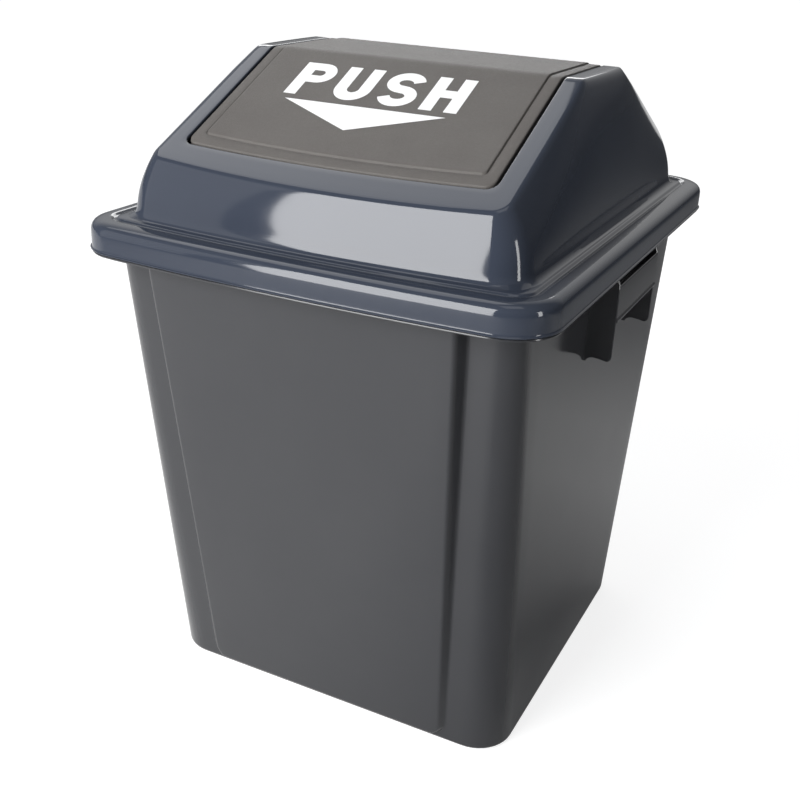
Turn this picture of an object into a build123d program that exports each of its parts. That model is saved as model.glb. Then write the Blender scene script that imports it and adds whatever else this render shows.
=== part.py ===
from build123d import *
import math
import os

# A swing-lid bin. +Z is up, the front faces -Y, and the origin is the middle of the base.
# Every length is in millimetres.

# Lid rim, which hangs over the bucket's rim
rim_half_width = 165.0
rim_half_depth = 199.0
rim_corner = 31.0
rim_bow = 7.0
rim_height = 20.0
lid_wall = 2.5
groove_inset = 15.0
groove_width = 4.0
groove_depth = 1.2
bead_drop = 6.0
bead_inset = 8.0
bead_round = 4.0

# Bucket: its mouth inside the rim, and how much narrower its base is on each side
overhang_side = 19.0
overhang_end = 15.5
taper_side = 5.0
taper_end = 45.0
base_corner = 38.0
mouth_corner = 17.0
bucket_height = 361.2
bucket_wall = 2.5
floor_height = 5.5
foot_ring = 16.0
foot_recess = 2.5
base_edge_round = 4.0

# Raised panel on the bucket's front and back, with a margin to the bucket's sides
panel_top_margin = 36.5
panel_base_margin = 45.0
panel_top_raise = 11.0
panel_base_raise = 4.5
panel_side_slope = 3.5
panel_start = 6.0
panel_edge_round = 2.5

# Hood walls, which lean in from a foot on the rim's ledge to the roof's edge
ledge_side = 23.5
ledge_end = 22.0
foot_bow_radius = 1250.0
side_lean = 17.5
end_lean = 12.0
foot_corner = 20.0
shoulder_corner = 70.0
hood_bulge = 0.27
end_reach = 1.3

# Roof of the hood: a flat ridge with a slope to the front and one to the back
hood_rise = 100.0
ridge_half_depth = 41.0
roof_fall = 0.479

# Swing flap, with a strip of roof left round it
strip_side = 16.5
strip_end = 21.5
flap_bow = 4.0
flap_corner = 6.0
flap_wall = 2.5
flap_gap = 2.0
field_inset = 8.5
field_raise = 0.9
flange_depth = 9.0
flange_wall = 2.5

# Pivot: a pin at each end of the flap, through an ear of the flap into a lug of the hood
pivot_drop = 12.0
pin_radius = 3.0
pin_head_radius = 5.0
pin_head = 2.0
pin_end_chamfer = 0.6
ear_radius = 7.5
ear_fit = 0.02
lug_fit = 0.06
lug_wall = 4.0
lug_half_width = 8.0
lug_below_pivot = 8.0
lug_gap = 3.0

# Hand grips under the rim, one on each side
grip_half_length = 49.0
grip_inset = 1.0
grip_wall = 2.5
grip_gap = 7.0
grip_height = 24.0
gusset_height = 63.0
gusset_round = 5.0
grip_bead = 1.0

# Clearances between the bucket's rim and the lid
skirt_gap = 0.8
seat_gap = 0.3
lip_show = 1.5
lip_wall = 2.0

rim_top = bucket_height + seat_gap + lid_wall
rim_underside = rim_top - rim_height
foot_height = rim_top - lid_wall
ridge_height = rim_top + hood_rise
pivot_height = ridge_height - pivot_drop
roof_angle = math.atan(roof_fall)

mouth_half_width = rim_half_width - overhang_side
mouth_half_depth = rim_half_depth - overhang_end
base_half_width = mouth_half_width - taper_side
base_half_depth = mouth_half_depth - taper_end
panel_top_half_width = mouth_half_width - panel_top_margin
panel_base_half_width = base_half_width - panel_base_margin
foot_half_width = rim_half_width - ledge_side
foot_half_depth = rim_half_depth + rim_bow - ledge_end
roof_half_width = foot_half_width - side_lean
roof_half_depth = foot_half_depth - end_lean
flap_half_width = roof_half_width - strip_side
flap_reach = roof_half_depth - strip_end
grip_reach = rim_half_width - grip_inset
grip_top = rim_underside - grip_gap
grip_bottom = grip_top - grip_height
gusset_bottom = rim_underside - gusset_height


def outline(half_width, half_depth, corner, bow, height):
    """Plan shape with straight sides, bowed front and back and round corners."""
    left_front = (-half_width, -half_depth)
    right_front = (half_width, -half_depth)
    right_back = (half_width, half_depth)
    left_back = (-half_width, half_depth)
    if bow > 0:
        front = ThreePointArc(left_front, (0, -half_depth - bow), right_front)
        back = ThreePointArc(right_back, (0, half_depth + bow), left_back)
    else:
        front = Line(left_front, right_front)
        back = Line(right_back, left_back)
    plan = make_face([front, Line(right_front, right_back), back, Line(left_back, left_front)])
    plan = fillet(plan.vertices(), corner)
    return Pos(0, 0, height) * plan


def bucket_size(height, inset):
    """Half width, half depth and corner radius of the bucket's wall at a height."""
    share = height / bucket_height
    half_width = base_half_width + (mouth_half_width - base_half_width) * share
    half_depth = base_half_depth + (mouth_half_depth - base_half_depth) * share
    corner = base_corner + (mouth_corner - base_corner) * share
    return half_width - inset, half_depth - inset, corner - inset


def bucket_core(bottom, top, inset):
    """The tapered box of the bucket, from one height to another, drawn in by an inset."""
    sections = []
    for height in (bottom, top):
        half_width, half_depth, corner = bucket_size(height, inset)
        sections.append(outline(half_width, half_depth, corner, 0, height))
    return loft(sections, ruled=True)


def panel(bottom, top, inset):
    """The raised front panel, which gets wider and stands out further towards the top."""
    sections = []
    for height in (bottom, top):
        share = height / bucket_height
        raise_here = panel_base_raise + (panel_top_raise - panel_base_raise) * share
        face = panel_base_half_width + (panel_top_half_width - panel_base_half_width) * share
        half_depth = bucket_size(height, 0)[1]
        front = -(half_depth + raise_here - inset)
        root = -(half_depth - bucket_wall - inset)
        slope = panel_side_slope * (front - root) / -raise_here
        points = [
            (-face - slope + inset, root),
            (-face + inset, front),
            (face - inset, front),
            (face + slope - inset, root),
        ]
        sections.append(Pos(0, 0, height) * make_face(Polyline(*points, close=True)))
    solid = loft(sections, ruled=True)
    front_face = min(solid.faces(), key=lambda face: face.normal_at().Y)
    rounded = [edge for edge in front_face.edges() if abs(edge.center().Z - top) > 1.0]
    return fillet(rounded, panel_edge_round)


def both_ends(solid):
    """A solid and its mirror image at the back."""
    return solid + mirror(solid, Plane.XZ)


def both_sides(solid):
    """A solid and its mirror image at the left."""
    return solid + mirror(solid, Plane.YZ)


def rim_plan(inset, bottom, top):
    """A slab with the lid rim's plan, drawn in by an inset."""
    plan = outline(rim_half_width - inset, rim_half_depth - inset, rim_corner - inset, rim_bow, 0)
    return Pos(0, 0, bottom) * extrude(plan, top - bottom)


def rim_block(inset, drop, bottom):
    """The lid rim's outer form with its rounded bead, drawn in and lowered."""
    top = rim_top - drop
    block = rim_plan(inset, bottom, top)
    block = chamfer(block.edges().group_by(Axis.Z)[-1], bead_inset, bead_drop)
    crest = top - max(bead_inset, bead_drop) - 1.0
    bead_edges = block.edges().filter_by(lambda edge: edge.bounding_box().min.Z > crest)
    return fillet(bead_edges, bead_round)


def grip():
    """Right hand grip: an upright plate held off the wall by two gussets."""
    root = bucket_size(gusset_bottom, bucket_wall / 2)[0]
    lip_inside = rim_half_width - lid_wall - skirt_gap - lip_wall / 2
    side_view = make_face(
        Polyline(
            (root, gusset_bottom),
            (grip_reach, gusset_bottom),
            (grip_reach, grip_top),
            (lip_inside, rim_underside),
            (root, rim_underside),
            close=True,
        )
    )
    outer_corner = side_view.vertices().group_by(Axis.Y)[0].sort_by(Axis.X)[-1]
    side_view = fillet(outer_corner, gusset_round)
    gusset = extrude(Plane.XZ * side_view, grip_wall)
    near = Pos(0, -grip_half_length + grip_wall, 0) * gusset
    far = Pos(0, grip_half_length, 0) * gusset
    plate_height = grip_top - grip_bottom
    plate = Pos(grip_reach - grip_wall / 2, 0, grip_bottom + plate_height / 2) * Box(
        grip_wall, 2 * grip_half_length, plate_height
    )
    bead = Pos(grip_reach - grip_wall / 2, 0, grip_bottom) * Rot(90, 0, 0) * Cylinder(
        grip_wall / 2 + grip_bead, 2 * grip_half_length
    )
    return near + far + plate + bead


def bin_body():
    """The bucket with its rim, raised panels and hand grips, in one moulding."""
    shell = bucket_core(0, bucket_height, 0)
    base_edges = shell.edges().group_by(Axis.Z)[0]
    shell = fillet(base_edges, base_edge_round)
    shell += both_ends(panel(panel_start, rim_underside, 0))
    lip_bottom = rim_underside - lip_show
    lip_inset = lid_wall + skirt_gap
    lip_drop = lid_wall + seat_gap
    flange = rim_block(lip_inset, lip_drop, lip_bottom)
    shell += flange - rim_block(lip_inset + lip_wall, lip_drop + lip_wall, lip_bottom)
    shell += both_sides(grip())
    shell -= bucket_core(floor_height, bucket_height, bucket_wall)
    shell -= both_ends(panel(floor_height + bucket_wall, rim_underside - bucket_wall, bucket_wall))
    recess = outline(
        base_half_width - foot_ring, base_half_depth - foot_ring, base_corner - foot_ring, 0, 0
    )
    return shell - extrude(recess, foot_recess)


def roof_prism(drop):
    """The space under the roof, lowered by a distance square to its faces."""
    shift = drop * math.tan(roof_angle / 2)
    ridge = ridge_half_depth - shift
    height = ridge_height - drop
    far = rim_half_depth + 2 * rim_bow
    far_height = height - (far - ridge) * roof_fall
    profile = Polyline(
        (-far, rim_underside),
        (-far, far_height),
        (-ridge, height),
        (ridge, height),
        (far, far_height),
        (far, rim_underside),
        close=True,
    )
    half_width = rim_half_width
    return extrude(Plane.YZ * make_face(profile), half_width, both=True)


def roof_at(depth, drop):
    """Height of the roof's slope at a distance from the middle, lowered square to its face."""
    shift = drop * math.tan(roof_angle / 2)
    return ridge_height - drop - (depth - ridge_half_depth + shift) * roof_fall


def hood_section(depth, height, inset, bottom):
    """Upright section across the hood: leaning, slightly bulged sides under a level top."""
    foot = foot_half_width - inset
    top = roof_half_width - inset
    middle = foot - (foot - top) * hood_bulge
    middle_height = (rim_top + height) / 2
    right = ThreePointArc((foot, rim_top), (middle, middle_height), (top, height))
    left = ThreePointArc((-top, height), (-middle, middle_height), (-foot, rim_top))
    floor = Polyline((-foot, rim_top), (-foot, bottom), (foot, bottom), (foot, rim_top))
    section = make_face([floor, right, Line((top, height), (-top, height)), left])
    return Plane.XZ.offset(-depth) * section


def hood_end(inset, bottom):
    """Everything behind the bowed front wall, turned about a far upright axis."""
    foot = -foot_half_depth + inset
    lean = foot_half_depth - roof_half_depth
    rise = roof_at(roof_half_depth, 0) - rim_top
    curve = [(foot + lean * share**2, rim_top + rise * share) for share in (0, end_reach / 2, end_reach)]
    axis_depth = foot_bow_radius - foot_half_depth
    above = ridge_height + foot_corner
    rest = Polyline(
        curve[-1],
        (-ridge_half_depth, above),
        (axis_depth, above),
        (axis_depth, bottom),
        (foot, bottom),
        curve[0],
    )
    section = make_face([ThreePointArc(*curve), rest])
    return revolve(Plane.YZ * section, Axis((0, axis_depth, 0), (0, 0, 1)), 360)


def hood_corners(inset, bottom):
    """Block with round upright corners, which take in more of the walls towards the roof."""
    roof_corner = roof_at(roof_half_depth - foot_corner / 2, 0)
    levels = [
        (bottom, foot_corner),
        (rim_top, foot_corner),
        (roof_corner, shoulder_corner),
        (ridge_height + foot_corner, shoulder_corner),
    ]
    sections = []
    for height, corner in levels:
        half_width = foot_half_width - inset
        half_depth = foot_half_depth - inset
        sections.append(outline(half_width, half_depth, corner - inset, 0, height))
    return loft(sections, ruled=True)


def hood_block(inset, bottom):
    """The hood as a block: side walls, roof, and the bowed walls of both ends."""
    far = foot_half_depth + rim_bow
    ridge = ridge_half_depth - inset * math.tan(roof_angle / 2)
    stations = [(-far, roof_at(far, inset)), (-ridge, ridge_height - inset)]
    stations += [(-depth, height) for depth, height in reversed(stations)]
    block = loft([hood_section(y, z, inset, bottom) for y, z in stations], ruled=True)
    front = hood_end(inset, bottom)
    block = block & front & mirror(front, Plane.XZ)
    return block & hood_corners(inset, bottom)


def flap_plan(grow, height):
    """Plan of the flap, grown by a distance on every side."""
    half_width = flap_half_width + grow
    return outline(half_width, flap_reach - flap_bow + grow, flap_corner, flap_bow, height)


def lid_hood():
    """The lid's rim, groove, walls and roof in one moulding, with lugs for the pivot."""
    rim = rim_block(0, 0, rim_underside) - rim_block(lid_wall, lid_wall, rim_underside)
    groove = rim_plan(groove_inset, rim_top - groove_depth, rim_top)
    groove -= rim_plan(groove_inset + groove_width, rim_top - groove_depth, rim_top)
    hood = rim - groove + hood_block(0, foot_height)
    hood -= hood_block(lid_wall, rim_underside)
    opening = extrude(flap_plan(flap_gap, rim_top), ridge_height)
    hood -= opening & roof_prism(-lid_wall)
    return hood + both_sides(pivot_lug())


def pivot_lug():
    """Lug that hangs from the roof beside the flap and holds the end of the pin."""
    inside = flap_half_width + lug_gap
    top = ridge_height - lid_wall / 2
    bottom = pivot_height - lug_below_pivot
    plate = Pos(inside + lug_wall / 2, 0, (top + bottom) / 2) * Box(
        lug_wall, 2 * lug_half_width, top - bottom
    )
    plate = fillet(plate.edges().filter_by(Axis.X).group_by(Axis.Z)[0], lug_half_width - 1.0)
    hole = Pos(inside + lug_wall / 2, 0, pivot_height) * Rot(0, 90, 0) * Cylinder(
        pin_radius + lug_fit, 2 * lug_wall
    )
    return plate - hole


def swing_flap():
    """The two-way flap: a bent panel with a raised field, side flanges and an ear at each end."""
    column = extrude(flap_plan(0, rim_top), ridge_height)
    skin = column & (roof_prism(0) - roof_prism(flap_wall))
    inner_column = extrude(flap_plan(-flange_wall, rim_top), ridge_height)
    band = column & (roof_prism(flap_wall / 2) - roof_prism(flange_depth))
    flange = band - inner_column
    field = extrude(flap_plan(-field_inset, rim_top), ridge_height)
    field &= roof_prism(-field_raise) - roof_prism(flap_wall / 2)
    ear = Pos(flap_half_width - flange_wall / 2, 0, pivot_height) * Rot(0, 90, 0) * Cylinder(
        ear_radius, flange_wall
    )
    hole = Pos(flap_half_width, 0, pivot_height) * Rot(0, 90, 0) * Cylinder(
        pin_radius + ear_fit, 4 * flange_wall
    )
    return skin + flange + field + both_sides(ear) - both_sides(hole)


def pivot_pin():
    """Right pivot pin: its head is inside the flap, and its end turns in the hood's lug."""
    head_face = flap_half_width - flange_wall
    end = flap_half_width + lug_gap + lug_wall
    length = end - head_face
    shank = Pos(head_face + length / 2, 0, pivot_height) * Rot(0, 90, 0) * Cylinder(pin_radius, length)
    shank = chamfer(shank.edges().sort_by(Axis.X)[-1], pin_end_chamfer)
    head = Pos(head_face - pin_head / 2, 0, pivot_height) * Rot(0, 90, 0) * Cylinder(
        pin_head_radius, pin_head
    )
    return shank + head


os.makedirs("parts", exist_ok=True)
right_pin = pivot_pin()
pieces = {
    "bin_body": bin_body(),
    "lid_hood": lid_hood(),
    "swing_flap": swing_flap(),
    "right_pivot_pin": right_pin,
    "left_pivot_pin": mirror(right_pin, Plane.YZ),
}
for name, shape in pieces.items():
    export_step(shape, f"parts/{name}.step")
    print(name, round(shape.volume), shape.bounding_box())
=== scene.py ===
import math
import bpy
from mathutils import Matrix, Vector


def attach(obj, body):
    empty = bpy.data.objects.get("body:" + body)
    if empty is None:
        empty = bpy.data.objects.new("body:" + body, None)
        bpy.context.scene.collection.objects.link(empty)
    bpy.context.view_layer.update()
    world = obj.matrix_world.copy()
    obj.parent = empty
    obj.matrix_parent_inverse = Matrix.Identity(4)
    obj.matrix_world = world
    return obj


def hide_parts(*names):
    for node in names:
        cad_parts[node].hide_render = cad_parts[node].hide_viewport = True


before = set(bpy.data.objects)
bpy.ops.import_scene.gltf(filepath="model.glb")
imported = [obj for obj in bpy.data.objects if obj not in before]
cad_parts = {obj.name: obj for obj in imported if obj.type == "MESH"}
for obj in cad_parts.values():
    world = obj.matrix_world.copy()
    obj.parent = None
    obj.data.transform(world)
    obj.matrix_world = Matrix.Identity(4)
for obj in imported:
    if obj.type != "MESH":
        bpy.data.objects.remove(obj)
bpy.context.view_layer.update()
print("frame loaded:", sorted(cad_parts))

mm = 0.001  # every size below is in millimetres, every Blender object in metres

# Roof of the hood: a flat ridge and two slopes, shared by the hood, the flap and the print
roof = {
    "ridgeHeight": 464.0,
    "ridgeHalfDepth": 41.0,
    "fall": 0.479,
    "foldSoftness": 3.5,
    "wallSoftness": 34.0,  # the side walls bend over this much more gently than the roof
    "pivotHeight": 452.0,
}

# Where the points of every ring lie along its straight sides
stops = {
    "fold": [0.0, 18.0, 32.0, 36.5, 38.0, 39.5, 41.0, 42.5, 44.0, 45.5, 50.0],
    "sideSteps": 6,
    "frontSteps": 16,
    "cornerSteps": 10,
}
sideCount = 2 * (len(stops["fold"]) + stops["sideSteps"]) - 1  # points along one side of a ring


def roofHeight(depth, soft=roof["foldSoftness"]):
    past = abs(depth) - roof["ridgeHalfDepth"]
    if past <= -soft:
        drop = 0.0
    elif past >= soft:
        drop = past
    else:
        drop = (past + soft) ** 2 / (4 * soft)
    return roof["ridgeHeight"] - roof["fall"] * drop


def spread(first, last, steps):
    return [first + (last - first) * k / steps for k in range(steps + 1)]


def bow(x, y, halfWidth, halfDepth, amount):
    return y * (1 + amount / halfDepth * (1 - (x / halfWidth) ** 2))


def sideStops(limit):
    outer = spread(stops["fold"][-1], limit, stops["sideSteps"])[1:]
    half = stops["fold"] + outer
    return [-y for y in reversed(half[1:])] + half


# A ring runs left to right along the front, then round the right side, the back and the left side
def planRing(halfWidth, halfDepth, corner, bowed, frontX=None):
    corner = max(corner, 0.6)
    endX = halfWidth - corner
    endY = halfDepth - corner
    if frontX is None:
        frontX = spread(-endX, endX, stops["frontSteps"])
    frontX = [max(-endX, min(endX, x)) for x in frontX]
    steps = stops["cornerSteps"]
    turn = [math.pi / 2 * k / steps for k in range(1, steps)]
    points = [(x, -halfDepth) for x in frontX]
    points += [(endX + corner * math.sin(a), -endY - corner * math.cos(a)) for a in turn]
    points += [(halfWidth, y) for y in sideStops(endY)]
    points += [(endX + corner * math.cos(a), endY + corner * math.sin(a)) for a in turn]
    points += [(x, halfDepth) for x in reversed(frontX)]
    points += [(-endX - corner * math.sin(a), endY + corner * math.cos(a)) for a in turn]
    points += [(-halfWidth, y) for y in reversed(sideStops(endY))]
    points += [(-endX - corner * math.cos(a), -endY - corner * math.sin(a)) for a in turn]
    return [(x, bow(x, y, halfWidth, halfDepth, bowed)) for x, y in points]


def atHeight(plan, height):
    return [(x, y, height) for x, y in plan]


def onRoof(plan, lift):
    return [(x, y, roofHeight(y) + lift) for x, y in plan]


def between(first, last, share):
    return [tuple(a + (b - a) * share for a, b in zip(p, q)) for p, q in zip(first, last)]


# Curve from one ring to another that is pulled towards a third ring
def softTurn(first, corner, last, shares):
    return [between(between(first, corner, t), between(corner, last, t), t) for t in shares]


def newShape():
    return {"points": [], "faces": []}


def addRing(shape, ring):
    start = len(shape["points"])
    shape["points"] += ring
    return list(range(start, start + len(ring)))


def addRings(shape, rings, closed=False):
    indexed = [addRing(shape, ring) for ring in rings]
    pairs = list(zip(indexed, indexed[1:]))
    if closed:
        pairs.append((indexed[-1], indexed[0]))
    for low, high in pairs:
        for k in range(len(low)):
            n = (k + 1) % len(low)
            shape["faces"].append((low[k], low[n], high[n], high[k]))
    return indexed


# Closes a ring with one face in front, one behind and strips across the folds between them
def addFoldedCap(shape, ring, frontCount, facesUp):
    steps = stops["cornerSteps"] - 1
    right = list(range(frontCount + steps, frontCount + steps + sideCount))
    leftStart = 2 * frontCount + 3 * steps + sideCount
    left = list(reversed(range(leftStart, leftStart + sideCount)))
    first = stops["sideSteps"]
    last = sideCount - 1 - first
    rows = range(first, last)
    total = len(ring)
    front = list(range(left[first] - total, 0)) + list(range(0, right[first] + 1))
    back = list(range(right[last], left[last] + 1))
    faces = [[ring[k] for k in front], [ring[k] for k in back]]
    faces += [[ring[left[k]], ring[right[k]], ring[right[k + 1]], ring[left[k + 1]]] for k in rows]
    for face in faces:
        shape["faces"].append(tuple(face if facesUp else reversed(face)))


def addCap(shape, ring, facesUp):
    shape["faces"].append(tuple(ring if facesUp else reversed(ring)))


def outwardNormals(outline):
    normals = []
    for k in range(len(outline)):
        before = Vector(outline[k - 1])
        here = Vector(outline[k])
        after = Vector(outline[(k + 1) % len(outline)])
        along = ((here - before).normalized() + (after - here).normalized()).normalized()
        normals.append((along.y, -along.x))
    return normals


# A plate cut to an outline that runs anticlockwise, with softened edges; place turns (u, v, w) into a point
def addPlate(shape, outline, low, high, soften, place):
    normals = outwardNormals(outline)
    inner = [(u - a * soften, v - b * soften) for (u, v), (a, b) in zip(outline, normals)]
    levels = [(inner, low), (outline, low + soften), (outline, high - soften), (inner, high)]
    rings = [[place(u, v, w) for u, v in ring] for ring, w in levels]
    indexed = addRings(shape, rings)
    addCap(shape, indexed[0], False)
    addCap(shape, indexed[-1], True)


def arc(centreU, centreV, radius, startAngle, endAngle, steps):
    angles = [math.radians(a) for a in spread(startAngle, endAngle, steps)]
    return [(centreU + radius * math.cos(a), centreV + radius * math.sin(a)) for a in angles]


def makeObject(name, shape, material, sharpAngle=40.0):
    mesh = bpy.data.meshes.new(name)
    mesh.from_pydata([Vector(p) * mm for p in shape["points"]], [], shape["faces"])
    mesh.validate()
    mesh.polygons.foreach_set("use_smooth", [True] * len(mesh.polygons))
    mesh.set_sharp_from_angle(angle=math.radians(sharpAngle))
    mesh.materials.append(material)
    made = bpy.data.objects.new(name, mesh)
    bpy.context.scene.collection.objects.link(made)
    return made


def newMaterial(name):
    material = bpy.data.materials.new(name)
    material.use_nodes = True
    nodes = material.node_tree.nodes
    return material, nodes, material.node_tree.links, nodes["Principled BSDF"]


def addNoise(nodes, links, place, scale, detail, roughness):
    noise = nodes.new("ShaderNodeTexNoise")
    noise.inputs["Scale"].default_value = scale
    noise.inputs["Detail"].default_value = detail
    noise.inputs["Roughness"].default_value = roughness
    links.new(place.outputs["Object"], noise.inputs["Vector"])
    return noise


def addRamp(nodes, links, source, low, high, lowValue, highValue):
    ramp = nodes.new("ShaderNodeMapRange")
    ramp.inputs["From Min"].default_value = low
    ramp.inputs["From Max"].default_value = high
    ramp.inputs["To Min"].default_value = lowValue
    ramp.inputs["To Max"].default_value = highValue
    links.new(source, ramp.inputs["Value"])
    return ramp


# Moulded plastic: slight flow marks in colour and gloss, and a surface that is never quite flat
def mouldedPlastic(name, finish):
    material, nodes, links, shader = newMaterial(name)
    middle = (0.3, 0.7)  # the part of a noise's range that is used
    place = nodes.new("ShaderNodeTexCoord")
    flow = addNoise(nodes, links, place, finish["flowScale"], detail=3.0, roughness=0.55)
    mix = nodes.new("ShaderNodeMix")
    mix.data_type = "RGBA"
    mix.inputs["A"].default_value = (*finish["colour"], 1)
    mix.inputs["B"].default_value = (*finish["flowColour"], 1)
    tone = addRamp(nodes, links, flow.outputs["Fac"], *middle, 0.0, 1.0)
    links.new(tone.outputs["Result"], mix.inputs["Factor"])
    links.new(mix.outputs["Result"], shader.inputs["Base Color"])
    haze = addNoise(nodes, links, place, finish["hazeScale"], detail=4.0, roughness=0.6)
    gloss = addRamp(nodes, links, haze.outputs["Fac"], *middle, *finish["roughness"])
    links.new(gloss.outputs["Result"], shader.inputs["Roughness"])
    shader.inputs["Specular IOR Level"].default_value = finish["specular"]
    grain = addNoise(nodes, links, place, finish["grainScale"], finish["grainDetail"], roughness=0.6)
    bump = nodes.new("ShaderNodeBump")
    bump.inputs["Strength"].default_value = finish["grainStrength"]
    bump.inputs["Distance"].default_value = finish["grainHeight"] * mm
    links.new(grain.outputs["Fac"], bump.inputs["Height"])
    links.new(bump.outputs["Normal"], shader.inputs["Normal"])
    return material


bucketFinish = {
    "colour": (0.035, 0.036, 0.040),
    "flowColour": (0.039, 0.040, 0.044),
    "flowScale": 9.0,
    "hazeScale": 30.0,
    "roughness": (0.12, 0.17),
    "specular": 0.5,
    "grainScale": 260.0,
    "grainDetail": 2.0,
    "grainHeight": 0.05,
    "grainStrength": 0.12,
}
hoodFinish = {
    "colour": (0.033, 0.040, 0.058),
    "flowColour": (0.037, 0.045, 0.064),
    "flowScale": 7.0,
    "hazeScale": 24.0,
    "roughness": (0.06, 0.09),
    "specular": 0.5,
    "grainScale": 120.0,
    "grainDetail": 1.0,
    "grainHeight": 0.06,
    "grainStrength": 0.06,
}
flapFinish = {
    "colour": (0.098, 0.090, 0.084),
    "flowColour": (0.110, 0.102, 0.095),
    "flowScale": 30.0,
    "hazeScale": 700.0,
    "roughness": (0.50, 0.64),
    "specular": 0.4,
    "grainScale": 1500.0,
    "grainDetail": 3.0,
    "grainHeight": 0.28,
    "grainStrength": 0.7,
}
pinFinish = {
    "colour": (0.018, 0.018, 0.019),
    "flowColour": (0.023, 0.023, 0.024),
    "flowScale": 60.0,
    "hazeScale": 200.0,
    "roughness": (0.30, 0.42),
    "specular": 0.5,
    "grainScale": 900.0,
    "grainDetail": 2.0,
    "grainHeight": 0.04,
    "grainStrength": 0.2,
}
printFinish = {
    "colour": (0.86, 0.87, 0.87),
    "flowColour": (0.90, 0.90, 0.90),
    "flowScale": 90.0,
    "hazeScale": 500.0,
    "roughness": (0.42, 0.55),
    "specular": 0.4,
    "grainScale": 1500.0,
    "grainDetail": 2.0,
    "grainHeight": 0.12,
    "grainStrength": 0.25,
}
bucketPlastic = mouldedPlastic("bucketPlastic", bucketFinish)
hoodPlastic = mouldedPlastic("hoodPlastic", hoodFinish)
flapGrain = mouldedPlastic("flapGrain", flapFinish)
pinPlastic = mouldedPlastic("pinPlastic", pinFinish)
printInk = mouldedPlastic("printInk", printFinish)
print("finishes made")

# The bucket: tapered walls with a raised panel at the front and the back, a rolled lip and a foot ring
bucket = {
    "height": 361.2,
    "baseHalfWidth": 141.0,
    "baseHalfDepth": 138.5,
    "baseCorner": 28.0,
    "mouthHalfWidth": 146.0,
    "mouthHalfDepth": 183.5,
    "mouthCorner": 17.0,
    "wall": 2.5,
    "edgeRound": 4.0,
    "footRing": 16.0,
    "footRecess": 2.5,
    "floorHeight": 5.5,
    "panelBaseHalfWidth": 96.0,
    "panelTopHalfWidth": 109.5,
    "panelBaseRaise": 4.5,
    "panelTopRaise": 11.0,
    "panelStart": 5.6,
    "panelFull": 8.4,
    "panelCorner": 12.0,
    "panelEnd": 346.0,
    "panelHeights": [5.0, 5.6, 6.0, 6.5, 7.1, 7.8, 8.4, 9.4, 10.6, 12.0, 13.8, 15.6, 17.6],  # at the panel's foot
    "wallHeights": [30.0, 345.0],
    "wallSteps": 12,
    "mouthHeights": [346.0, 351.0, 355.0],
    "insideTopHeights": [355.0, 346.0],
    "floorHeights": [20.0, 15.0, 12.0, 10.0],
    "floorRound": 4.0,
    "lip": [  # distance in from the rim's edge, and height
        (15.5, 358.0), (12.5, 358.6), (9.0, 357.6), (6.2, 354.0), (5.4, 349.5), (5.3, 344.0), (5.1, 342.6),
        (4.2, 342.0), (2.0, 341.9), (1.3, 342.15), (1.0, 342.7), (1.2, 343.3), (2.4, 343.6), (3.3, 344.4),
        (3.3, 351.5), (4.2, 354.2), (7.0, 357.2), (10.5, 360.2), (13.5, 361.0), (16.0, 361.2),
    ],
    "mouth": [(361.2, 0.6), (360.9, 1.6), (359.8, 2.3)],  # height, and distance in from the wall
    "endMargin": 0.5,
    "endSteps": 3,
    "faceSteps": 8,
}
# Rim of the lid, which the bucket's lip lies under
rim = {
    "halfWidth": 165.0,
    "halfDepth": 199.0,
    "corner": 31.0,
    "bow": 7.0,
    "top": 364.0,
}
# Step at the panel's side: distance out from the panel's edge, and share of its raise
panelStep = [
    (5.6, 0.0), (4.5, 0.012), (3.9, 0.05), (3.4, 0.13), (2.9, 0.26), (1.9, 0.52),
    (1.0, 0.75), (0.45, 0.87), (-0.2, 0.945), (-1.1, 0.985), (-2.4, 1.0),
]


def panelAt(height):
    share = height / bucket["height"]
    raised = bucket["panelBaseRaise"] + (bucket["panelTopRaise"] - bucket["panelBaseRaise"]) * share
    rise = (height - bucket["panelStart"]) / (bucket["panelFull"] - bucket["panelStart"])
    rise = max(0.0, min(1.0, rise))
    raised *= math.sin(rise * math.pi / 2)
    face = bucket["panelBaseHalfWidth"]
    face += (bucket["panelTopHalfWidth"] - bucket["panelBaseHalfWidth"]) * share
    corner = bucket["panelCorner"]
    above = max(0.0, min(1.0, (height - bucket["panelStart"]) / corner))
    face -= corner * (1 - math.sqrt(1 - (1 - above) ** 2))
    if height >= bucket["panelEnd"]:
        raised = 0.0
    return face, raised


def panelStops(face, endX):
    outer = spread(endX, face + panelStep[0][0], bucket["endSteps"])[:-1]
    step = [face + out for out, share in panelStep]
    inner = spread(face + panelStep[-1][0], 0.0, bucket["faceSteps"])[1:]
    half = outer + step + inner
    return [-x for x in half] + [x for x in reversed(half[:-1])]


def panelShares():
    half = [0.0] * bucket["endSteps"] + [share for out, share in panelStep] + [1.0] * bucket["faceSteps"]
    return half + list(reversed(half[:-1]))


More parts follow.
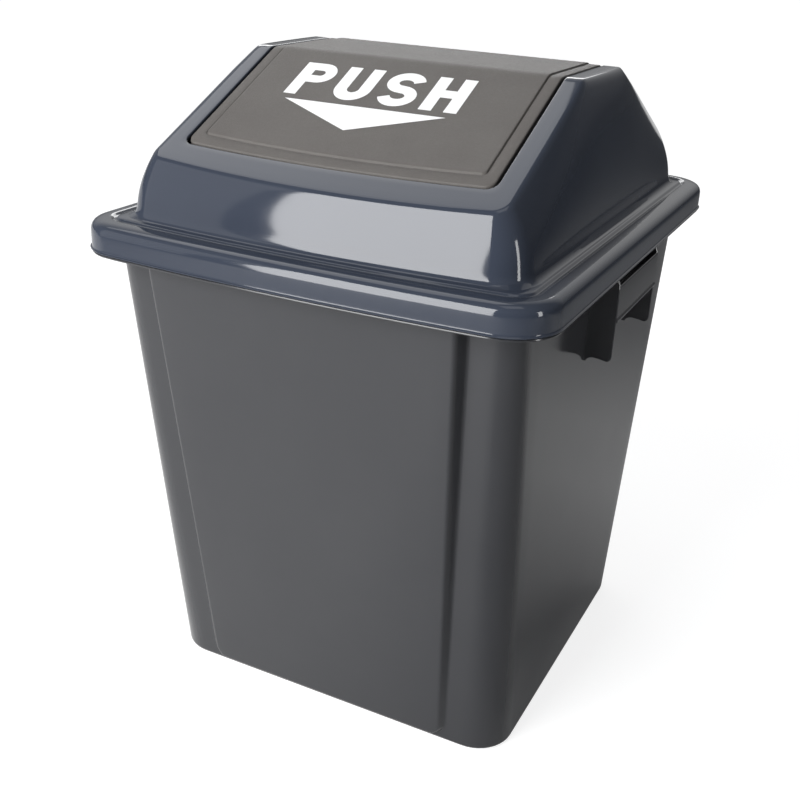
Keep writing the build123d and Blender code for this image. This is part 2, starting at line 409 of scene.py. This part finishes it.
# Plan of the bucket at a height; panelled False leaves the panels out, with the same number of points
def bucketPlan(height, inset, panelled=True):
    share = height / bucket["height"]
    halfWidth = bucket["baseHalfWidth"] + (bucket["mouthHalfWidth"] - bucket["baseHalfWidth"]) * share
    halfDepth = bucket["baseHalfDepth"] + (bucket["mouthHalfDepth"] - bucket["baseHalfDepth"]) * share
    corner = bucket["baseCorner"] + (bucket["mouthCorner"] - bucket["baseCorner"]) * share
    face, raised = panelAt(height)
    endX = halfWidth - corner
    face = min(face, endX - panelStep[0][0] - bucket["endMargin"])
    frontX = panelStops(face, endX)
    plan = planRing(halfWidth - inset, halfDepth - inset, corner - inset, 0.0, frontX)
    if not panelled:
        return plan
    toBack = len(frontX) + sideCount + 2 * (stops["cornerSteps"] - 1)
    for k, lift in enumerate(panelShares()):
        x, y = plan[k]
        plan[k] = (x, y - raised * lift)
        x, y = plan[toBack + k]
        plan[toBack + k] = (x, y + raised * lift)
    return plan


def bucketWall(heights, inset):
    return [atHeight(bucketPlan(z, inset), z) for z in heights]


def rimPlan(inset, frontX=None):
    return planRing(rim["halfWidth"] - inset, rim["halfDepth"] - inset, rim["corner"] - inset, rim["bow"], frontX)


def buildBucket():
    shape = newShape()
    wall = bucket["wall"]
    ring = bucket["footRing"]
    recess = bucket["footRecess"]
    foot = [(ring + 1.0, recess), (ring, recess - 0.7), (ring - 0.2, 0.5), (ring - 0.8, 0.0)]  # inset, height
    rings = [atHeight(bucketPlan(0.0, inset), height) for inset, height in foot]
    edge = bucket["edgeRound"]
    for angle in spread(0, 90, 6):  # rounded edge of the base
        height = edge * (1 - math.cos(math.radians(angle)))
        rings += bucketWall([height], edge * (1 - math.sin(math.radians(angle))))
    middle = spread(*bucket["wallHeights"], bucket["wallSteps"])
    rings += bucketWall(bucket["panelHeights"] + middle + bucket["mouthHeights"], 0.0)
    lipFace = panelAt(bucket["wallHeights"][1])[0]
    frontX = panelStops(lipFace, bucket["mouthHalfWidth"] - bucket["mouthCorner"])
    rings += [atHeight(rimPlan(inset, frontX), height) for inset, height in bucket["lip"]]
    for height, inset in bucket["mouth"]:
        rings += bucketWall([height], inset)
    inside = bucket["insideTopHeights"] + list(reversed(middle)) + bucket["floorHeights"]
    rings += bucketWall(inside, wall)
    for angle in spread(90, 0, 4):  # rounded foot of the inner wall
        inset = wall + bucket["floorRound"] * (1 - math.sin(math.radians(angle)))
        height = bucket["floorHeight"] + bucket["floorRound"] * (1 - math.cos(math.radians(angle)))
        rings.append(atHeight(bucketPlan(height, inset, False), height))
    indexed = addRings(shape, rings)
    addCap(shape, indexed[0], False)
    addCap(shape, indexed[-1], True)
    for side in (-1, 1):
        addGrip(shape, side)
    return makeObject("bucketMoulding", shape, bucketPlastic)


# Hand grip: an upright plate with a bead along its foot, held off the wall by two gussets
grip = {
    "halfLength": 49.0,
    "reach": 164.0,
    "wall": 2.5,
    "bottom": 313.0,
    "top": 337.0,
    "bead": 2.25,
    "gussetBottom": 281.0,
    "cornerRound": 4.0,
    "root": 144.0,
    "cusp": [(0.0, 0.0), (2.2, 0.0), (2.9, 1.3), (3.8, 2.3), (5.2, 3.0), (7.0, 3.4), (11.0, 3.2)],  # out, up
    "cornerLift": 2.2,
    "upperEdge": [(0.0, 330.0), (0.3, 338.0), (3.4, 345.0), (20.0, 345.0)],  # in from the reach, and height
    "topRound": 1.25,
    "edgeSoftness": 0.5,
    "beadSoftness": 0.4,
    "endMargin": 0.6,
}


def addGrip(shape, side):
    def place(u, v, w):
        return side * u, w * -side, v

    reach = grip["reach"]
    wall = grip["wall"]
    foot = grip["gussetBottom"]
    corner = grip["cornerRound"]
    gusset = [(grip["root"] + out, foot + up) for out, up in grip["cusp"]]
    gusset += arc(reach - corner, foot + grip["cornerLift"] + corner, corner, -80, 0, 6)
    gusset += [(reach - inward, height) for inward, height in grip["upperEdge"]]
    for start in (-grip["halfLength"], grip["halfLength"] - wall):
        addPlate(shape, gusset, start, start + wall, grip["edgeSoftness"], place)
    middle = reach - wall / 2
    tip = grip["topRound"]
    section = arc(middle, grip["bottom"], grip["bead"], 125, 415, 12)
    section += [(reach, grip["top"] - 1.2)]
    section += arc(middle, grip["top"] - tip, tip, 0, 180, 6)[1:]
    section += [(reach - wall, grip["top"] - 3.0)]
    length = grip["halfLength"] - grip["endMargin"]
    addPlate(shape, section, -length, length, grip["beadSoftness"], place)


bucketBody = buildBucket()
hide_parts("bin_body")
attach(bucketBody, "bin")
print("bucket made:", len(bucketBody.data.polygons), "faces")

# The hood: skirt, groove, walls that lean in, and a folded roof with the opening for the flap
hood = {
    "footHalfWidth": 140.0,
    "footHalfDepth": 173.2,
    "footCorner": 20.0,
    "footBow": 8.0,
    "roofHalfWidth": 124.0,
    "roofHalfDepth": 165.0,
    "roofCorner": 9.0,
    "roofBow": 7.0,
    "filletTop": 8.5,
    "edgeSetback": 2.4,
    "openingHalfWidth": 109.5,
    "openingHalfDepth": 148.5,
    "openingCorner": 7.0,
    "openingBow": 4.0,
    "wall": 2.5,
    "lugInside": 110.5,
    "lugWall": 4.0,
    "lugHalfWidth": 8.0,
    "lugBottom": 444.0,
    "lugTop": 462.5,
    "lugHole": 3.06,
    "openingEdge": [  # wider by, and lift
        (1.0, 0.0), (0.45, -0.12), (0.12, -0.45), (0.0, -1.0), (0.0, -2.4), (0.5, -2.9),
    ],
    "innerMargin": 0.4,
    "wallShare": 0.93,  # how far up the wall its rings go, before the soft edge of the roof
    "wallSteps": 12,
    "edgeShares": (0.2, 0.4, 0.6, 0.8, 1.0),
    "roofShares": (0.35, 0.7),
    "insideShares": (0.85, 0.6, 0.35, 0.1),
}
# Section through the rim: distance in from its edge, and height above its top face
rimSection = [
    (2.6, -19.6), (2.2, -20.0), (0.5, -20.0), (0.05, -19.7), (0.0, -19.2), (0.25, -18.95), (0.7, -18.8),
    (0.93, -18.55), (1.0, -18.1), (1.0, -17.0), (1.0, -12.0), (1.02, -8.4), (1.15, -6.4), (1.65, -4.7),
    (2.6, -3.2), (4.0, -2.0), (6.0, -1.1), (8.8, -0.6), (12.0, -0.4), (13.8, -0.35), (14.8, -0.6),
    (15.6, -1.2), (16.4, -1.6), (17.2, -1.6), (17.9, -1.2), (18.6, -0.5), (19.2, -0.15),
]
rimInside = [(20.0, -2.6), (11.5, -2.75), (8.0, -3.9), (4.6, -6.3), (3.0, -9.5), (2.7, -14.0)]
footFillet = [(5.0, 0.0), (3.5, 0.35), (2.2, 1.1), (1.2, 2.3), (0.5, 4.0), (0.1, 6.2)]  # grown by, height


# The wall leans in with the square of its height
def wallPoint(foot, top, height):
    lean = (height / (roofHeight(top[1], roof["wallSoftness"]) - rim["top"])) ** 2
    return foot[0] + (top[0] - foot[0]) * lean, foot[1] + (top[1] - foot[1]) * lean, rim["top"] + height


def hoodFoot(foot, top, normals, grow, height):
    points = [wallPoint(f, t, height) for f, t in zip(foot, top)]
    return [(x + nx * grow, y + ny * grow, z) for (x, y, z), (nx, ny) in zip(points, normals)]


def hoodWall(foot, top, low, share):
    points = []
    for f, t in zip(foot, top):
        full = roofHeight(t[1]) - rim["top"]
        points.append(wallPoint(f, t, low + (full - low) * share))
    return points


def buildHood():
    shape = newShape()
    foot = planRing(hood["footHalfWidth"], hood["footHalfDepth"], hood["footCorner"], hood["footBow"])
    top = planRing(hood["roofHalfWidth"], hood["roofHalfDepth"], hood["roofCorner"], hood["roofBow"])
    normals = outwardNormals(foot)
    rings = [atHeight(rimPlan(inset), rim["top"] + lift) for inset, lift in rimSection]
    rings += [hoodFoot(foot, top, normals, grow, height) for grow, height in footFillet]
    low = hood["filletTop"]
    rings += [hoodWall(foot, top, low, share) for share in spread(0.0, hood["wallShare"], hood["wallSteps"])]
    edge = hoodWall(foot, top, low, 1.0)
    back = hood["edgeSetback"]
    inner = [(x - nx * back, y - ny * back) for (x, y, z), (nx, ny) in zip(edge, normals)]
    rings += softTurn(rings[-1], edge, onRoof(inner, 0.0), hood["edgeShares"])
    openingPlan = (hood["openingHalfWidth"], hood["openingHalfDepth"], hood["openingCorner"], hood["openingBow"])
    opening = onRoof(planRing(*openingPlan), 0.0)
    rings += [between(onRoof(inner, 0.0), opening, share) for share in hood["roofShares"]]
    for grow, lift in hood["openingEdge"]:
        grown = [value + grow for value in openingPlan[:3]]
        rings.append(onRoof(planRing(*grown, openingPlan[3]), lift))
    wall = hood["wall"] + hood["innerMargin"]
    smaller = [hood[key] - wall for key in ("roofHalfWidth", "roofHalfDepth", "roofCorner")]
    under = planRing(*smaller, hood["roofBow"])
    rings.append(onRoof(under, -wall))
    footInside = [(x - nx * wall, y - ny * wall) for (x, y), (nx, ny) in zip(foot, normals)]
    rings += [hoodWall(footInside, under, 0.0, share) for share in hood["insideShares"]]
    rings += [atHeight(rimPlan(inset), rim["top"] + lift) for inset, lift in rimInside]
    addRings(shape, rings, closed=True)
    start = hood["lugInside"]
    lug = (hood["lugHalfWidth"], hood["lugBottom"], hood["lugTop"], hood["lugHole"])
    for side in (-1, 1):
        addEar(shape, side * start, side * (start + hood["lugWall"]), *lug)
    return makeObject("hoodMoulding", shape, hoodPlastic)


# A lug or ear with a round foot and a hole at the pivot
def addEar(shape, nearX, farX, halfWidth, bottom, top, hole):
    pivot = roof["pivotHeight"]
    angles = [math.radians(a) for a in spread(0, 180, 16)]
    outer = [(halfWidth, top), (halfWidth, (top + pivot) / 2)]
    outer += [(halfWidth * math.cos(a), pivot - (pivot - bottom) * math.sin(a)) for a in angles]
    outer += [(-halfWidth, (top + pivot) / 2), (-halfWidth, top)]
    bore = []
    for y, z in outer:
        away = Vector((y, z - pivot)).normalized() * hole
        bore.append((away.x, pivot + away.y))
    rings = [
        [(nearX, y, z) for y, z in outer],
        [(farX, y, z) for y, z in outer],
        [(farX, y, z) for y, z in bore],
        [(nearX, y, z) for y, z in bore],
    ]
    addRings(shape, rings, closed=True)


lid = buildHood()
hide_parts("lid_hood")
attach(lid, "lid")
print("hood made:", len(lid.data.polygons), "faces")

# The flap: a folded plate with a raised field, a flange all round and an ear at each end of the pivot
flap = {
    "halfWidth": 107.5,
    "halfDepth": 146.5,
    "corner": 6.0,
    "bow": 4.0,
    "fieldInset": 8.5,
    "fieldRaise": 0.9,
    "flangeDepth": 9.6,
    "wall": 2.5,
    "earHalfWidth": 7.5,
    "earTop": 455.5,
    "earHole": 3.02,
    "cornerShare": 0.35,  # how fast the corners tighten inwards
    "edge": [(0.0, -2.0), (0.0, -1.1), (0.12, -0.5), (0.45, -0.14), (1.0, 0.0), (4.5, 0.0)],  # inset, lift
    "fieldGroove": [(-1.0, 0.0), (-0.7, -0.12), (-0.45, -0.5), (-0.1, -0.62), (0.15, -0.4), (0.35, 0.35)],
    "fieldTop": [(0.6, -0.14), (1.1, -0.01), (2.0, 0.0), (6.0, 0.0)],  # from the field's edge, and from its top
}


def flapPlan(inset):
    corner = flap["corner"] - inset * flap["cornerShare"]
    return planRing(flap["halfWidth"] - inset, flap["halfDepth"] - inset, corner, flap["bow"])


def buildFlap():
    shape = newShape()
    wall = flap["wall"]
    depth = flap["flangeDepth"]
    section = [(wall, -wall - 0.6), (wall, -depth + 0.3), (wall - 0.4, -depth), (0.5, -depth), (0.1, -depth + 0.4)]
    section += flap["edge"]
    section += [(flap["fieldInset"] + inward, lift) for inward, lift in flap["fieldGroove"]]
    section += [(flap["fieldInset"] + inward, flap["fieldRaise"] + lift) for inward, lift in flap["fieldTop"]]
    rings = [onRoof(flapPlan(inset), lift) for inset, lift in section]
    indexed = addRings(shape, rings)
    addFoldedCap(shape, indexed[0], stops["frontSteps"] + 1, False)
    addFoldedCap(shape, indexed[-1], stops["frontSteps"] + 1, True)
    halfWidth = flap["earHalfWidth"]
    ear = (halfWidth, roof["pivotHeight"] - halfWidth, flap["earTop"], flap["earHole"])
    for side in (-1, 1):
        addEar(shape, side * (flap["halfWidth"] - wall), side * flap["halfWidth"], *ear)
    return makeObject("flapMoulding", shape, flapGrain)


swing = buildFlap()
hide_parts("swing_flap")
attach(swing, "flap")
print("flap made:", len(swing.data.polygons), "faces")

# Print on the flap: the plain word PUSH over a triangle that points down
printing = {
    "left": -69.6,
    "foot": -90.0,
    "letterHeight": 37.7,
    "letterWidth": 26.6,
    "letterGap": 6.7,
    "stroke": 9.0,
    "bar": 8.2,
    "lift": 0.04,
    "thickness": 0.1,
    "triangleTop": -95.0,
    "triangleLeft": -65.0,
    "triangleRight": 52.0,
    "apexX": -7.5,
    "apexY": -118.5,
    "bowlShare": 0.3,  # radius of the P's bowl, as a share of the letter's height
    "bowlSteps": 14,
    "overshoot": 0.4,  # how far the S passes the other letters
    "upperTurn": (14, 250),
    "lowerTurn": (70, -166),
    "turnSteps": 20,
    "barLift": 0.6,
}


# u runs to the right and v up the slope
def onSlope(u, v):
    slope = math.atan(roof["fall"])
    y = printing["foot"] + v * math.cos(slope)
    return (u, y, roofHeight(y) + flap["fieldRaise"] + printing["lift"])


def addPatch(shape, outline):
    shape["faces"].append(tuple(addRing(shape, [onSlope(u, v) for u, v in outline])))


def addStroke(shape, line, width):
    normals = []
    for k in range(len(line)):
        before = Vector(line[max(k - 1, 0)])
        after = Vector(line[min(k + 1, len(line) - 1)])
        along = (after - before).normalized()
        normals.append((along.y * width / 2, -along.x * width / 2))
    right = addRing(shape, [onSlope(u + a, v + b) for (u, v), (a, b) in zip(line, normals)])
    left = addRing(shape, [onSlope(u - a, v - b) for (u, v), (a, b) in zip(line, normals)])
    for k in range(len(line) - 1):
        shape["faces"].append((left[k], right[k], right[k + 1], left[k + 1]))


def addBox(shape, u, v, width, height):
    addPatch(shape, [(u, v), (u + width, v), (u + width, v + height), (u, v + height)])


def ellipse(centreU, centreV, radiusU, radiusV, startAngle, endAngle, steps):
    angles = [math.radians(a) for a in spread(startAngle, endAngle, steps)]
    return [(centreU + radiusU * math.cos(a), centreV + radiusV * math.sin(a)) for a in angles]


def buildPrint():
    shape = newShape()
    height = printing["letterHeight"]
    width = printing["letterWidth"]
    stroke = printing["stroke"]
    bar = printing["bar"]
    step = width + printing["letterGap"]
    steps = printing["turnSteps"]
    # P: a stem and a bowl
    u = printing["left"]
    addBox(shape, u, 0.0, stroke, height)
    bowl = height * printing["bowlShare"] - bar / 2
    centre = (u + width - bar / 2 - bowl, height - bar / 2 - bowl)
    line = [(u + stroke, height - bar / 2)] + arc(*centre, bowl, 90, -90, printing["bowlSteps"])
    addStroke(shape, line + [(u + stroke, centre[1] - bowl)], bar)
    # U: two stems and a round foot
    u += step
    reach = (width - stroke) / 2
    line = [(u + stroke / 2, height)] + arc(u + width / 2, stroke / 2 + reach, reach, 180, 360, steps)
    addStroke(shape, line + [(u + width - stroke / 2, height)], stroke)
    # S: two open bowls
    u += step
    past = printing["overshoot"]
    radius = (height + 2 * past - bar) / 4
    wide = (width - bar) / 2
    middle = u + width / 2
    upper = ellipse(middle, height + past - bar / 2 - radius, wide, radius, *printing["upperTurn"], steps)
    lower = ellipse(middle, bar / 2 + radius - past, wide, radius, *printing["lowerTurn"], steps)
    addStroke(shape, upper + lower, bar)
    # H: two stems and a bar
    u += step
    addBox(shape, u, 0.0, stroke, height)
    addBox(shape, u + stroke, height / 2 - bar / 2 + printing["barLift"], width - 2 * stroke, bar)
    addBox(shape, u + width - stroke, 0.0, stroke, height)
    # triangle that points down the slope
    slope = math.cos(math.atan(roof["fall"]))
    top = (printing["triangleTop"] - printing["foot"]) / slope
    apex = (printing["apexY"] - printing["foot"]) / slope
    corners = [(printing["apexX"], apex), (printing["triangleRight"], top), (printing["triangleLeft"], top)]
    addPatch(shape, corners)
    made = makeObject("pushPrint", shape, printInk, 0.0)
    ink = made.modifiers.new("inkThickness", "SOLIDIFY")
    ink.thickness = printing["thickness"] * mm
    ink.offset = 1.0
    return made


ink = buildPrint()
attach(ink, "flap")
print("print made")

# The pivot pins stay as they are in the frame, with a material of their own
for name in ("left_pivot_pin", "right_pivot_pin"):
    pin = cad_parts[name]
    pin.data.materials.clear()
    pin.data.materials.append(pinPlastic)
print("pins finished")

# The room that the bin stands in, and what its glossy plastic mirrors of it
stage = {
    "floorHalf": 14.0,
    "floorColour": (0.42, 0.42, 0.42),
    "floorGlow": (0.80, 0.96),  # near the bin, where the shadow shows, and far away
    "floorGlowReach": (0.5, 2.6),
    "glossLeftX": (-0.05, 0.18),  # what the plastic mirrors: a bright floor in front at the left,
    "glossNearY": (-0.9, -0.55),  # which fades to the right and far in front,
    "glossBackY": (0.0, 0.3),     # and a paler one behind,
    "glossFarY": (0.45, 0.8),     # which fades too
    "glossFront": 0.76,
    "glossBack": 0.26,
    "roomColour": (0.30, 0.31, 0.33),
    "roomRise": (0.0, 0.5),
    "roomStrength": (0.12, 0.48),
    "backdropSide": (-0.431, 0.902, 0.0),  # the white backdrop stands on this side of the room
    "backdropEdge": (0.45, 0.95),
    "backdropRise": (0.0, 0.38),
    "backdropInGloss": (0.03, 1.0),
}


# Gives 1 for a ray from the camera or through glass, and the node whose second input is a glossy ray's share
def seenDirectly(nodes, links):
    path = nodes.new("ShaderNodeLightPath")
    gloss = nodes.new("ShaderNodeMath")
    gloss.operation = "MULTIPLY"
    links.new(path.outputs["Is Glossy Ray"], gloss.inputs[0])
    first = nodes.new("ShaderNodeMath")
    first.operation = "MAXIMUM"
    links.new(path.outputs["Is Camera Ray"], first.inputs[0])
    links.new(gloss.outputs[0], first.inputs[1])
    second = nodes.new("ShaderNodeMath")
    second.operation = "MAXIMUM"
    links.new(first.outputs[0], second.inputs[0])
    links.new(path.outputs["Is Transmission Ray"], second.inputs[1])
    return second.outputs[0], gloss


def buildFloor():
    half = stage["floorHalf"]
    mesh = bpy.data.meshes.new("floor")
    mesh.from_pydata([(-half, -half, 0), (half, -half, 0), (half, half, 0), (-half, half, 0)], [], [(0, 1, 2, 3)])
    floor = bpy.data.objects.new("floor", mesh)
    bpy.context.scene.collection.objects.link(floor)
    material = bpy.data.materials.new("paleFloor")
    material.use_nodes = True
    nodes = material.node_tree.nodes
    links = material.node_tree.links
    nodes.clear()
    out = nodes.new("ShaderNodeOutputMaterial")
    matt = nodes.new("ShaderNodeBsdfDiffuse")
    matt.inputs["Color"].default_value = (*stage["floorColour"], 1)
    glow = nodes.new("ShaderNodeEmission")
    glow.inputs["Color"].default_value = (1, 1, 1, 1)
    strength = nodes.new("ShaderNodeMath")
    strength.operation = "MULTIPLY"
    seen, gloss = seenDirectly(nodes, links)
    place = nodes.new("ShaderNodeTexCoord")
    away = nodes.new("ShaderNodeVectorMath")
    away.operation = "LENGTH"
    links.new(place.outputs["Object"], away.inputs[0])
    pale = addRamp(nodes, links, away.outputs["Value"], *stage["floorGlowReach"], *stage["floorGlow"])
    links.new(pale.outputs["Result"], strength.inputs[1])
    apart = nodes.new("ShaderNodeSeparateXYZ")
    links.new(place.outputs["Object"], apart.inputs[0])
    left = addRamp(nodes, links, apart.outputs["X"], *stage["glossLeftX"], stage["glossFront"], 0.0)
    near = addRamp(nodes, links, apart.outputs["Y"], *stage["glossNearY"], 0.0, 1.0)
    front = nodes.new("ShaderNodeMath")
    front.operation = "MULTIPLY"
    links.new(left.outputs["Result"], front.inputs[0])
    links.new(near.outputs["Result"], front.inputs[1])
    behind = addRamp(nodes, links, apart.outputs["Y"], *stage["glossBackY"], 0.0, stage["glossBack"])
    fading = addRamp(nodes, links, apart.outputs["Y"], *stage["glossFarY"], 1.0, 0.0)
    back = nodes.new("ShaderNodeMath")
    back.operation = "MULTIPLY"
    links.new(behind.outputs["Result"], back.inputs[0])
    links.new(fading.outputs["Result"], back.inputs[1])
    share = nodes.new("ShaderNodeMath")
    share.operation = "MAXIMUM"
    links.new(front.outputs[0], share.inputs[0])
    links.new(back.outputs[0], share.inputs[1])
    links.new(share.outputs[0], gloss.inputs[1])
    links.new(seen, strength.inputs[0])
    links.new(strength.outputs[0], glow.inputs["Strength"])
    both = nodes.new("ShaderNodeAddShader")
    links.new(matt.outputs[0], both.inputs[0])
    links.new(glow.outputs[0], both.inputs[1])
    links.new(both.outputs[0], out.inputs["Surface"])
    mesh.materials.append(material)


def buildWorld():
    world = bpy.data.worlds.new("studio")
    bpy.context.scene.world = world
    world.use_nodes = True
    nodes = world.node_tree.nodes
    links = world.node_tree.links
    nodes.clear()
    out = nodes.new("ShaderNodeOutputWorld")
    room = nodes.new("ShaderNodeBackground")
    room.inputs["Color"].default_value = (*stage["roomColour"], 1)
    white = nodes.new("ShaderNodeBackground")
    white.inputs["Color"].default_value = (1, 1, 1, 1)
    mix = nodes.new("ShaderNodeMixShader")
    seen, gloss = seenDirectly(nodes, links)
    place = nodes.new("ShaderNodeTexCoord")
    towards = nodes.new("ShaderNodeVectorMath")
    towards.operation = "DOT_PRODUCT"
    towards.inputs[1].default_value = stage["backdropSide"]
    links.new(place.outputs["Generated"], towards.inputs[0])
    side = addRamp(nodes, links, towards.outputs["Value"], *stage["backdropEdge"], 0.0, 1.0)
    part = nodes.new("ShaderNodeSeparateXYZ")
    links.new(place.outputs["Generated"], part.inputs[0])
    rise = addRamp(nodes, links, part.outputs["Z"], *stage["backdropRise"], 0.0, 1.0)
    lit = addRamp(nodes, links, part.outputs["Z"], *stage["roomRise"], *stage["roomStrength"])
    links.new(lit.outputs["Result"], room.inputs["Strength"])
    both = nodes.new("ShaderNodeMath")
    both.operation = "MULTIPLY"
    links.new(side.outputs["Result"], both.inputs[0])
    links.new(rise.outputs["Result"], both.inputs[1])
    share = addRamp(nodes, links, both.outputs["Value"], 0.0, 1.0, *stage["backdropInGloss"])
    links.new(share.outputs["Result"], gloss.inputs[1])
    links.new(seen, mix.inputs["Fac"])
    links.new(room.outputs[0], mix.inputs[1])
    links.new(white.outputs[0], mix.inputs[2])
    links.new(mix.outputs[0], out.inputs["Surface"])


# azimuth is measured from the front, positive to the right
lamps = {
    "softbox": {"azimuth": -16.5, "elevation": 17.0, "distance": 1.7, "width": 0.88, "height": 1.5, "power": 41.0},
    "leftPanel": {"azimuth": -50.0, "elevation": 17.0, "distance": 1.7, "width": 0.8, "height": 1.3, "power": 2.2},
    "rightStrip": {"azimuth": 78.0, "elevation": 10.0, "distance": 1.7, "width": 0.22, "height": 0.8, "power": 4.5},
    "topLight": {"azimuth": 40.0, "elevation": 75.0, "distance": 1.7, "width": 0.7, "height": 0.7, "power": 1.5},
    "backLight": {"azimuth": -154.0, "elevation": 29.0, "distance": 1.9, "width": 1.3, "height": 0.5, "power": 7.0},
    "ceiling": {"azimuth": -117.0, "elevation": 62.0, "distance": 1.9, "width": 1.2, "height": 1.2, "power": 7.0},
}
aim = Vector((0, 0, 0.25))  # every lamp points here


def around(azimuth, elevation, distance):
    a = math.radians(azimuth)
    e = math.radians(elevation)
    return Vector((math.sin(a) * math.cos(e), -math.cos(a) * math.cos(e), math.sin(e))) * distance


def buildLamps():
    for name, lamp in lamps.items():
        data = bpy.data.lights.new(name, "AREA")
        data.shape = "RECTANGLE"
        data.size = lamp["width"]
        data.size_y = lamp["height"]
        data.energy = lamp["power"]
        made = bpy.data.objects.new(name, data)
        made.location = aim + around(lamp["azimuth"], lamp["elevation"], lamp["distance"])
        made.rotation_euler = (made.location - aim).to_track_quat("Z", "Y").to_euler()
        bpy.context.scene.collection.objects.link(made)


view = {
    "azimuth": 25.547,
    "elevation": 23.962,
    "roll": 2.707,
    "lens": 49.506,
    "distance": 0.8891,
    "target": (-0.0154, 0.0, 0.1947),
}


def buildCamera():
    data = bpy.data.cameras.new("camera")
    data.lens = view["lens"]
    data.sensor_width = 36.0
    camera = bpy.data.objects.new("camera", data)
    back = around(view["azimuth"], view["elevation"], 1.0)
    a = math.radians(view["azimuth"])
    levelRight = Vector((math.cos(a), math.sin(a), 0))
    levelUp = back.cross(levelRight)
    r = math.radians(view["roll"])
    right = levelRight * math.cos(r) + levelUp * math.sin(r)
    up = levelUp * math.cos(r) - levelRight * math.sin(r)
    turned = Matrix((right, up, back)).transposed().to_4x4()
    place = Vector(view["target"]) + back * view["distance"]
    camera.matrix_world = Matrix.Translation(place) @ turned
    bpy.context.scene.collection.objects.link(camera)
    bpy.context.scene.camera = camera


buildFloor()
buildWorld()
buildLamps()
buildCamera()
bpy.context.scene.view_settings.view_transform = "Standard"
print("stage, lights and camera made")
